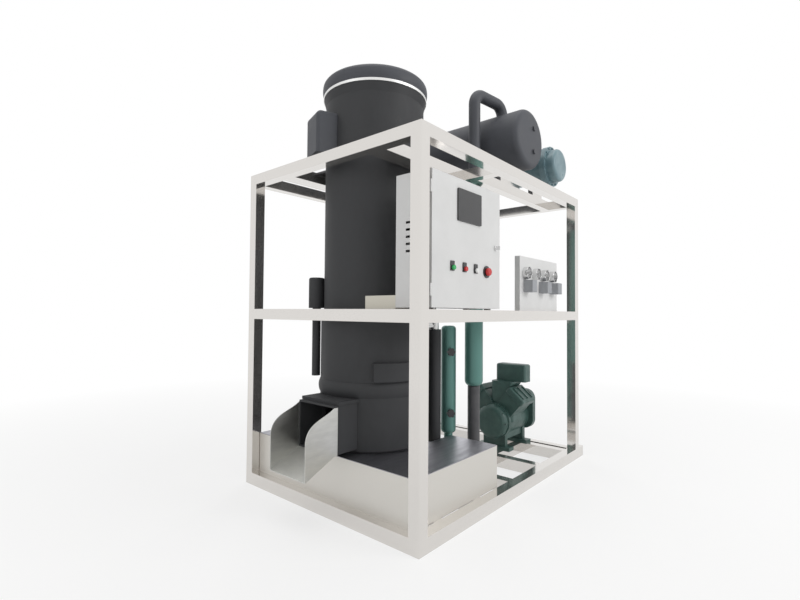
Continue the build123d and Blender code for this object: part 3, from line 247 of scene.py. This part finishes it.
class Effects:
    """Shader groups that the finishes share, each built once."""

    def __init__(self) -> None:
        """Build the groups."""
        self.tone = self.build_tone()
        self.edge = self.build_edge()
        self.grain = self.build_grain()
        self.facing = self.build_facing()

    @staticmethod
    def build_tone() -> bpy.types.ShaderNodeTree:
        """Build the group that mixes two tones by soft stretched clouds.

        Returns:
            A group with a Color and a Mask output.
        """
        group, wires, source, result = open_group(
            "two_tone_clouds",
            {"Color": ("NodeSocketColor", rgba((0.5, 0.5, 0.5))), "Second": ("NodeSocketColor", rgba((0.4, 0.4, 0.4))),
             "Scale": ("NodeSocketFloat", 10.0), "Stretch": ("NodeSocketVector", (1.0, 1.0, 1.0)),
             "Contrast": ("NodeSocketFloat", 0.5)},
            {"Color": "NodeSocketColor", "Mask": "NodeSocketFloat"})
        place = wires.add("TexCoord")
        stretched = wires.add("VectorMath", {"operation": "MULTIPLY"})
        wires.feed(stretched, 0, place.outputs["Object"])
        wires.feed(stretched, 1, source.outputs["Stretch"])
        clouds = wires.add("TexNoise", Vector=stretched.outputs[0], Scale=source.outputs["Scale"], Detail=5.0,
                           Roughness=0.55)
        half = wires.add("Math", {"operation": "MULTIPLY_ADD"})
        wires.feed(half, 0, source.outputs["Contrast"])
        wires.feed(half, 1, -0.35)
        wires.feed(half, 2, 0.5)
        upper = wires.add("Math", {"operation": "SUBTRACT"})
        wires.feed(upper, 0, 1.0)
        wires.feed(upper, 1, half.outputs[0])
        mask = wires.add("MapRange", Value=clouds.outputs[0], From_Min=half.outputs[0], From_Max=upper.outputs[0])
        mixed = wires.add("Mix", {"data_type": "RGBA"})
        wires.feed(mixed, 0, mask.outputs[0])
        wires.feed(mixed, 6, source.outputs["Color"])
        wires.feed(mixed, 7, source.outputs["Second"])
        wires.feed(result, "Color", mixed.outputs[2])
        wires.feed(result, "Mask", mask.outputs[0])
        return group

    @staticmethod
    def build_edge() -> bpy.types.ShaderNodeTree:
        """Build the group that finds corners, rounds them in the shading and gives a mask for a painted edge
        highlight, broken up by noise.

        Returns:
            A group with a Mask and a Normal output.
        """
        group, wires, source, result = open_group(
            "painted_edge_highlight", {"Radius": ("NodeSocketFloat", 0.002), "Amount": ("NodeSocketFloat", 0.5)},
            {"Mask": "NodeSocketFloat", "Normal": "NodeSocketVector"})
        rounded = wires.add("Bevel", {"samples": 4}, Radius=source.outputs["Radius"])
        flat = wires.add("NewGeometry")
        likeness = wires.add("VectorMath", {"operation": "DOT_PRODUCT"})
        wires.feed(likeness, 0, rounded.outputs[0])
        wires.feed(likeness, 1, flat.outputs["Normal"])
        # painted highlight: the mask rises at corners, where the rounded normal leaves the flat one, and noise breaks
        # it up
        spread = wires.add("MapRange", Value=likeness.outputs["Value"], From_Min=0.985, From_Max=0.80)
        place = wires.add("TexCoord")
        edge_breakup = wires.add("TexNoise", Vector=place.outputs["Object"], Scale=60.0, Detail=4.0)
        broken = wires.add("Math", {"operation": "MULTIPLY"})
        wires.feed(broken, 0, spread.outputs[0])
        wires.feed(broken, 1, edge_breakup.outputs[0])
        highlighted_edges = wires.add("Math", {"operation": "MULTIPLY", "use_clamp": True})
        wires.feed(highlighted_edges, 0, broken.outputs[0])
        wires.feed(highlighted_edges, 1, source.outputs["Amount"])
        wires.feed(result, "Mask", highlighted_edges.outputs[0])
        wires.feed(result, "Normal", rounded.outputs[0])
        return group

    @staticmethod
    def build_grain() -> bpy.types.ShaderNodeTree:
        """Build the group that gives fine surface relief, such as orange peel or brushing.

        Returns:
            A group with a Height output.
        """
        group, wires, source, result = open_group(
            "surface_grain", {"Scale": ("NodeSocketFloat", 300.0), "Stretch": ("NodeSocketVector", (1.0, 1.0, 1.0))},
            {"Height": "NodeSocketFloat"})
        place = wires.add("TexCoord")
        stretched = wires.add("VectorMath", {"operation": "MULTIPLY"})
        wires.feed(stretched, 0, place.outputs["Object"])
        wires.feed(stretched, 1, source.outputs["Stretch"])
        grain = wires.add("TexNoise", Vector=stretched.outputs[0], Scale=source.outputs["Scale"], Detail=3.0)
        waves = wires.add("TexNoise", Vector=place.outputs["Object"], Scale=9.0, Detail=2.0)
        both = wires.add("Math", {"operation": "MULTIPLY_ADD"})
        wires.feed(both, 0, waves.outputs[0])
        wires.feed(both, 1, 1.6)
        wires.feed(both, 2, grain.outputs[0])
        wires.feed(result, "Height", both.outputs[0])
        return group

    @staticmethod
    def build_facing() -> bpy.types.ShaderNodeTree:
        """Build the group that paints shade and darker reflections on a metal's faces turned along X, in soft patches.

        Returns:
            A group with a Color output.
        """
        group, wires, source, result = open_group(
            "painted_side_shade",
            {"Color": ("NodeSocketColor", rgba((0.5, 0.5, 0.5))), "Side": ("NodeSocketColor", rgba((0.2, 0.2, 0.2))),
             "Amount": ("NodeSocketFloat", 0.5)},
            {"Color": "NodeSocketColor"})
        place = wires.add("TexCoord")
        parts = wires.add("SeparateXYZ", Vector=place.outputs["Normal"])
        # painted shade: the more a face turns along X, the more it is darkened towards the side shade colour
        turned = wires.add("Math", {"operation": "ABSOLUTE"})
        wires.feed(turned, 0, parts.outputs["X"])
        patches = wires.add("TexNoise", Vector=place.outputs["Object"], Scale=2.6, Detail=2.0)
        spread = wires.add("MapRange", Value=patches.outputs[0], From_Min=0.36, From_Max=0.60, To_Min=1.0, To_Max=0.45)
        both = wires.add("Math", {"operation": "MULTIPLY"})
        wires.feed(both, 0, turned.outputs[0])
        wires.feed(both, 1, spread.outputs[0])
        mask = wires.add("Math", {"operation": "MULTIPLY", "use_clamp": True})
        wires.feed(mask, 0, both.outputs[0])
        wires.feed(mask, 1, source.outputs["Amount"])
        mixed = wires.add("Mix", {"data_type": "RGBA"})
        wires.feed(mixed, 0, mask.outputs[0])
        wires.feed(mixed, 6, source.outputs["Color"])
        wires.feed(mixed, 7, source.outputs["Side"])
        wires.feed(result, "Color", mixed.outputs[2])
        return group

    def group_node(self, wires: Nodes, group: bpy.types.ShaderNodeTree, **sockets: object) -> bpy.types.Node:
        """Place a group in a material with its own values.

        Args:
            wires: The material's wiring helper.
            group: The group.
            sockets: Its input values by name.

        Returns:
            The group node.
        """
        node = wires.add("Group", {"node_tree": group})
        for name, value in sockets.items():
            wires.feed(node, name, value)
        return node

    def material(self, finish: Finish) -> bpy.types.Material:
        """Make the material of a finish, or find the one already made.

        Args:
            finish: The finish to make.

        Returns:
            The node material.
        """
        known = bpy.data.materials.get(finish.name)
        if known:
            return known
        material = bpy.data.materials.new(finish.name)
        material.use_nodes = True
        material.diffuse_color = rgba(finish.color)
        wires = Nodes(material.node_tree)
        tone = self.group_node(wires, self.tone, Color=rgba(finish.color), Second=rgba(finish.second),
                               Scale=finish.scale, Stretch=finish.stretch, Contrast=finish.contrast)
        edge = self.group_node(wires, self.edge, Radius=0.0025, Amount=finish.edge)
        grain = self.group_node(wires, self.grain, Scale=finish.bump_scale, Stretch=finish.stretch)
        color = tone.outputs["Color"]
        # painted shade: faces turned along X are darkened towards the side shade colour
        if finish.side:
            color = self.group_node(wires, self.facing, Color=color, Side=rgba(finish.side_color),
                                    Amount=finish.side).outputs["Color"]
        # painted highlight: corners are lightened towards the edge highlight colour
        highlighted_edges = wires.add("Mix", {"data_type": "RGBA"})
        wires.feed(highlighted_edges, 0, edge.outputs["Mask"])
        wires.feed(highlighted_edges, 6, color)
        wires.feed(highlighted_edges, 7, rgba(finish.edge_color))
        spread = wires.add("MapRange", Value=tone.outputs["Mask"],
                           To_Min=max(finish.roughness - finish.roughness_spread, 0.02),
                           To_Max=finish.roughness + finish.roughness_spread)
        bump = wires.add("Bump", Strength=finish.bump, Distance=finish.bump_distance,
                         Height=grain.outputs["Height"], Normal=edge.outputs["Normal"])
        shader = wires.add("BsdfPrincipled", Base_Color=highlighted_edges.outputs[2], Metallic=finish.metallic,
                           Roughness=spread.outputs[0], Normal=bump.outputs[0], Coat_Weight=finish.coat,
                           Coat_Roughness=finish.coat_roughness, Specular_IOR_Level=finish.specular)
        output = wires.add("OutputMaterial", Surface=shader.outputs[0])
        output.is_active_output = True
        return material


EFFECTS = Effects()


class Form:
    """One piece that is put together from blocks, turned shapes and bent bars, in metres."""

    def __init__(self, name: str) -> None:
        """Start an empty piece.

        Args:
            name: The piece's name.
        """
        self.name = name
        self.mesh = bmesh.new()

    def block(self, low: Point, high: Point, bevel: float = 0.0, turn: Matrix | None = None) -> "Form":
        """Add a block with rounded edges.

        Args:
            low: Lowest corner.
            high: Highest corner.
            bevel: Width of the rounding.
            turn: Optional matrix applied to the block.

        Returns:
            This piece.
        """
        corners = [self.mesh.verts.new((x, y, z)) for x in (low[0], high[0]) for y in (low[1], high[1])
                   for z in (low[2], high[2])]
        faces = [self.mesh.faces.new([corners[i] for i in loop])
                 for loop in ((0, 1, 3, 2), (4, 6, 7, 5), (0, 4, 5, 1), (2, 3, 7, 6), (0, 2, 6, 4), (1, 5, 7, 3))]
        verts = set(corners)
        if bevel:
            edges = list({edge for face in faces for edge in face.edges})
            made = bmesh.ops.bevel(self.mesh, geom=edges, offset=bevel, segments=3, affect="EDGES", profile=0.6,
                                   clamp_overlap=True)
            verts = {vert for vert in set(made["verts"]) | verts if vert.is_valid}
        if turn:
            bmesh.ops.transform(self.mesh, matrix=turn, verts=list(verts))
        return self

    def lathe(self, base: Point, axis: Point, profile: Sequence[tuple[float, float]], steps: int = 32) -> "Form":
        """Add a shape turned about an axis.

        Args:
            base: Point on the axis from which heights count.
            axis: Direction of the axis.
            profile: (radius, height) pairs in order.
            steps: Number of sides.

        Returns:
            This piece.
        """
        turn = Vector((0, 0, 1)).rotation_difference(Vector(axis).normalized()).to_matrix()
        rings = []
        for radius, height in profile:
            if radius < 1e-6:
                rings.append([self.mesh.verts.new(Vector(base) + turn @ Vector((0, 0, height)))])
                continue
            rings.append([self.mesh.verts.new(Vector(base) + turn @ Vector((
                radius * math.cos(2 * math.pi * step / steps), radius * math.sin(2 * math.pi * step / steps),
                height))) for step in range(steps)])
        for lower, upper in zip(rings[:-1], rings[1:]):
            self.join(lower, upper, steps)
        return self

    def join(self, lower: list[bmesh.types.BMVert], upper: list[bmesh.types.BMVert], steps: int) -> None:
        """Close the band between two rings of a turned or swept shape.

        Args:
            lower: First ring, or a single point.
            upper: Second ring, or a single point.
            steps: Number of sides.
        """
        for step in range(steps):
            after = (step + 1) % steps
            if len(lower) == 1 and len(upper) > 1:
                self.mesh.faces.new((lower[0], upper[step], upper[after]))
            elif len(upper) == 1 and len(lower) > 1:
                self.mesh.faces.new((lower[step], lower[after], upper[0]))
            elif len(lower) > 1:
                self.mesh.faces.new((lower[step], lower[after], upper[after], upper[step]))

    def bar(self, corners: Sequence[Point], radius: float, bend: float = 0.0, steps: int = 12) -> "Form":
        """Add a round bar or pipe along straight runs with bent corners.

        Args:
            corners: Corner points of the run.
            radius: Radius of the bar.
            bend: Bend radius at the corners.
            steps: Number of sides.

        Returns:
            This piece.
        """
        line = bent_line([Vector(corner) for corner in corners], bend)
        frame_side = (line[1] - line[0]).orthogonal().normalized()
        rings = []
        for index, point in enumerate(line):
            ahead = line[min(index + 1, len(line) - 1)] - line[max(index - 1, 0)]
            ahead.normalize()
            frame_side = (frame_side - ahead * frame_side.dot(ahead)).normalized()
            other = ahead.cross(frame_side)
            rings.append([self.mesh.verts.new(point + radius * (frame_side * math.cos(2 * math.pi * step / steps)
                                                                + other * math.sin(2 * math.pi * step / steps)))
                          for step in range(steps)])
        for lower, upper in zip(rings[:-1], rings[1:]):
            self.join(lower, upper, steps)
        self.mesh.faces.new(rings[0])
        self.mesh.faces.new(rings[-1])
        return self

    def bolt(self, base: Point, axis: Point, width: float, washer: bool = True) -> "Form":
        """Add a hexagon head with its washer.

        Args:
            base: Point under the head.
            axis: Outward direction.
            width: Distance across the corners.
            washer: Whether a washer lies under the head.

        Returns:
            This piece.
        """
        if washer:
            self.lathe(base, axis, ((0, 0), (0.68 * width, 0), (0.68 * width, 0.10 * width), (0, 0.10 * width)), 20)
        return self.lathe(base, axis, ((0, 0.05 * width), (0.5 * width, 0.05 * width), (0.5 * width, 0.40 * width),
                                       (0.44 * width, 0.46 * width), (0, 0.46 * width)), 6)

    def plate(self, outline: Sequence[Point], offset: Point) -> "Form":
        """Add a flat plate from its outline and thickness.

        Args:
            outline: Corner points of one face, in order.
            offset: Vector through the thickness.

        Returns:
            This piece.
        """
        near = [self.mesh.verts.new(point) for point in outline]
        far = [self.mesh.verts.new(Vector(point) + Vector(offset)) for point in outline]
        self.mesh.faces.new(near)
        self.mesh.faces.new(far[::-1])
        for step, point in enumerate(near):
            after = (step + 1) % len(near)
            self.mesh.faces.new((point, far[step], far[after], near[after]))
        return self

    def done(self, finish: Finish, slot: Slot, body: Body = Body.MACHINE) -> bpy.types.Object:
        """Turn the piece into an object with its finish, riding on its body.

        Args:
            finish: The surface finish.
            slot: Not used.
            body: The body that carries it.

        Returns:
            The finished object.
        """
        bmesh.ops.recalc_face_normals(self.mesh, faces=self.mesh.faces)
        data = bpy.data.meshes.new(self.name)
        self.mesh.to_mesh(data)
        self.mesh.free()
        data.shade_smooth()
        data.set_sharp_from_angle(angle=math.radians(38))
        data.materials.append(EFFECTS.material(finish))
        piece = bpy.data.objects.new(self.name, data)
        bpy.context.scene.collection.objects.link(piece)
        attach(piece, body.value)
        log.info("%s: %d faces", self.name, len(data.polygons))
        return piece


def bent_line(corners: list[Vector], bend: float) -> list[Vector]:
    """Give the centre line of a pipe with bent corners.

    Args:
        corners: Corner points.
        bend: Bend radius.

    Returns:
        Points along the runs and bends.
    """
    line = [corners[0]]
    for before, corner, after in zip(corners[:-2], corners[1:-1], corners[2:]):
        entering, leaving = (before - corner).normalized(), (after - corner).normalized()
        half = entering.angle(leaving) / 2
        reach = min(bend / max(math.tan(half), 0.05), 0.49 * (before - corner).length, 0.49 * (after - corner).length)
        if bend <= 0 or reach < 1e-5:
            line.append(corner)
            continue
        start, end = corner + entering * reach, corner + leaving * reach
        for step in range(9):
            share = step / 8
            line.append(start * (1 - share) ** 2 + corner * (2 * share * (1 - share)) + end * share ** 2)
    line.append(corners[-1])
    return line


def middle(node: str) -> Vector:
    """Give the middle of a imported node's box."""
    low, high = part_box(node)
    return (Vector(low) + Vector(high)) / 2


@dataclass
class Studio:
    """Camera, pale floor and soft lights."""

    camera_place: Point = (-2.46961, -1.88637, 1.02868)
    yaw: float = 0.8593031
    pitch: float = 0.0272075
    roll: float = 0.0072261
    focal_pixels: float = 465.609
    picture_width: float = 800.0
    sensor: float = 36.0
    floor_radius: float = 40.0
    aim: Point = (0.0, 0.0, 1.1)
    fade: tuple[float, float] = (1.8, 5.0)
    floor_glow: float = 0.66

    def place_camera(self) -> None:
        """Put the camera where the photograph was taken from."""
        forward = Vector((math.sin(self.yaw) * math.cos(self.pitch), math.cos(self.yaw) * math.cos(self.pitch),
                          math.sin(self.pitch)))
        right = Vector((math.cos(self.yaw), -math.sin(self.yaw), 0.0))
        upward = right.cross(forward)
        side = right * math.cos(self.roll) + upward * math.sin(self.roll)
        over = upward * math.cos(self.roll) - right * math.sin(self.roll)
        data = bpy.data.cameras.new("camera")
        data.sensor_width = self.sensor
        data.lens = self.focal_pixels * self.sensor / self.picture_width
        data.clip_start, data.clip_end = 0.05, 200.0
        camera = bpy.data.objects.new("camera", data)
        bpy.context.scene.collection.objects.link(camera)
        camera.matrix_world = Matrix.Translation(self.camera_place) @ Matrix((side, over, -forward)).transposed().to_4x4()
        bpy.context.scene.camera = camera

    def lay_floor(self) -> None:
        """Lay the pale floor, which keeps the shadow and fades into the white background."""
        data = bpy.data.meshes.new("floor")
        steps = 64
        ring = [(self.floor_radius * math.cos(2 * math.pi * step / steps),
                 self.floor_radius * math.sin(2 * math.pi * step / steps), 0.0) for step in range(steps)]
        data.from_pydata(ring, [], [tuple(range(steps))])
        material = bpy.data.materials.new("studio_floor")
        material.use_nodes = True
        wires = Nodes(material.node_tree)
        matte = wires.add("BsdfDiffuse", Color=rgba((0.90, 0.90, 0.895)))
        glow = wires.add("Emission", Color=rgba((1.0, 1.0, 1.0)), Strength=1.0)
        place = wires.add("TexCoord")
        away = wires.add("VectorMath", {"operation": "LENGTH"})
        wires.feed(away, 0, place.outputs["Object"])
        fade = wires.add("MapRange", Value=away.outputs["Value"], From_Min=self.fade[0], From_Max=self.fade[1],
                         To_Min=self.floor_glow, To_Max=1.0)
        seen = self.seen_directly(wires, fade.outputs[0])
        mixed = wires.add("MixShader")
        wires.feed(mixed, 0, seen)
        wires.feed(mixed, 1, matte.outputs[0])
        wires.feed(mixed, 2, glow.outputs[0])
        wires.add("OutputMaterial", Surface=mixed.outputs[0])
        data.materials.append(material)
        floor = bpy.data.objects.new("floor", data)
        floor.location = (0.0, 0.0, -0.0005)
        bpy.context.scene.collection.objects.link(floor)

    @staticmethod
    def seen_directly(wires: Nodes, amount: float | bpy.types.NodeSocket) -> bpy.types.NodeSocket:
        """Give a value for rays that show the background, straight or in metal and glass.

        Args:
            wires: The wiring helper of the tree.
            amount: The value for those rays.

        Returns:
            The output socket with the value.
        """
        path = wires.add("LightPath")
        either = wires.add("Math", {"operation": "ADD"})
        wires.feed(either, 0, path.outputs["Is Camera Ray"])
        wires.feed(either, 1, path.outputs["Is Glossy Ray"])
        total = wires.add("Math", {"operation": "ADD", "use_clamp": True})
        wires.feed(total, 0, either.outputs[0])
        wires.feed(total, 1, path.outputs["Is Transmission Ray"])
        scaled = wires.add("Math", {"operation": "MULTIPLY"})
        wires.feed(scaled, 0, total.outputs[0])
        wires.feed(scaled, 1, amount)
        return scaled.outputs[0]

    def hang_lights(self) -> None:
        """Hang the soft lights and the world's even light."""
        for name, place, size, power in (
                ("key_softbox", (1.4, -5.4, 3.4), (3.2, 2.6), 110.0),
                ("left_softbox", (-5.6, 0.4, 2.6), (2.4, 2.8), 30.0),
                ("top_softbox", (-0.6, -0.4, 6.0), (4.0, 4.0), 80.0),
                ("back_softbox", (3.8, 3.6, 3.8), (2.6, 2.6), 60.0)):
            data = bpy.data.lights.new(name, "AREA")
            data.shape = "RECTANGLE"
            data.size, data.size_y = size
            data.energy = power
            lamp = bpy.data.objects.new(name, data)
            bpy.context.scene.collection.objects.link(lamp)
            toward = Vector(self.aim) - Vector(place)
            lamp.matrix_world = Matrix.Translation(place) @ toward.to_track_quat("-Z", "Y").to_matrix().to_4x4()
        world = bpy.data.worlds.new("studio_world")
        world.use_nodes = True
        wires = Nodes(world.node_tree)
        even = wires.add("Background", Color=rgba((1.0, 1.0, 1.0)), Strength=0.50)
        white = wires.add("Background", Color=rgba((1.0, 1.0, 1.0)), Strength=1.0)
        mixed = wires.add("MixShader")
        wires.feed(mixed, 0, self.seen_directly(wires, 1.0))
        wires.feed(mixed, 1, even.outputs[0])
        wires.feed(mixed, 2, white.outputs[0])
        wires.add("OutputWorld", Surface=mixed.outputs[0])
        bpy.context.scene.world = world

    def build(self) -> None:
        """Set the view transform and build the whole studio."""
        bpy.context.scene.view_settings.view_transform = "Standard"
        self.place_camera()
        self.lay_floor()
        self.hang_lights()


@dataclass
class PackedParts:
    """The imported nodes, each with the finish of its real surface."""

    finishes: dict[str, Finish] = field(default_factory=lambda: {
        "base_frame": POLISHED, "mid_frame": POLISHED, "top_frame": POLISHED, "post_front_left": POLISHED,
        "post_front_right": POLISHED, "post_back_left": POLISHED, "post_back_right": POLISHED,
        "evaporator_lugs": DARK_STEEL, "top_saddles": POLISHED, "evaporator_shell": LAGGING,
        "evaporator_collar": LAGGING, "evaporator_cap": LAGGING_TOP, "access_cover": LAGGING,
        "cutter_housing": LAGGING, "outlet_throat": LAGGING, "outlet_lid": LAGGING, "level_column": LAGGING,
        "side_box": LAGGING_TOP, "low_pressure_vessel": LAGGING_TOP, "suction_pipe": LAGGING_TOP,
        "water_riser": LAGGING, "cap_ring": BRIGHT, "riser_union": BRIGHT, "ice_tubes": BRIGHT,
        "drain_plate": BRIGHT, "ice_cutter": BRIGHT, "door_lock": CHROME, "ice_chute": CHUTE_SHEET,
        "water_tank": SHEET, "tank_cover": COVER_SHEET, "cutter_gearbox": SWITCH_GREY, "cutter_motor": MOTOR_BLUE,
        "water_pump": MOTOR_BLUE, "cabinet_case": CABINET, "cabinet_door": CABINET, "gauge_panel": CABINET,
        "mounting_plate": GALVANISED, "cable_trunk": BEIGE, "door_screen": BLACK_PLASTIC,
        "button_bezels": BLACK_PLASTIC, "valve_knob_lower": BLACK_PLASTIC, "valve_knob_upper": BLACK_PLASTIC,
        "button_green": GREEN_PLASTIC, "button_red": RED_PLASTIC, "stop_button": RED_PLASTIC,
        "button_white": WHITE_PLASTIC, "condenser_shell": CONDENSER_GREEN, "condenser_heads": CONDENSER_GREEN,
        "oil_separator": VESSEL_GREEN, "receiver": VESSEL_GREEN, "compressor_body": CASTING_GREEN,
        "cylinder_heads": CASTING_GREEN, "terminal_box": CASTING_GREEN, "separator_foot": DARK_STEEL,
        "gauge_cases": CHROME, "pressure_switches": SWITCH_GREY, "gauge_needle_1": INK, "gauge_needle_2": INK,
        "gauge_needle_3": INK, "gauge_needle_4": INK})

    def dress(self) -> None:
        """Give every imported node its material."""
        for name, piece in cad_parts.items():
            material = EFFECTS.material(self.finishes[name])
            if not piece.material_slots:
                piece.data.materials.append(material)
            for place in piece.material_slots:
                place.material = material
            log.info("%s: %s", name, material.name)


def main() -> None:
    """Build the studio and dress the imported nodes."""
    logging.basicConfig(level=logging.INFO, format="%(name)s %(message)s")
    Studio().build()
    PackedParts().dress()


if __name__ == "__main__":
    main()
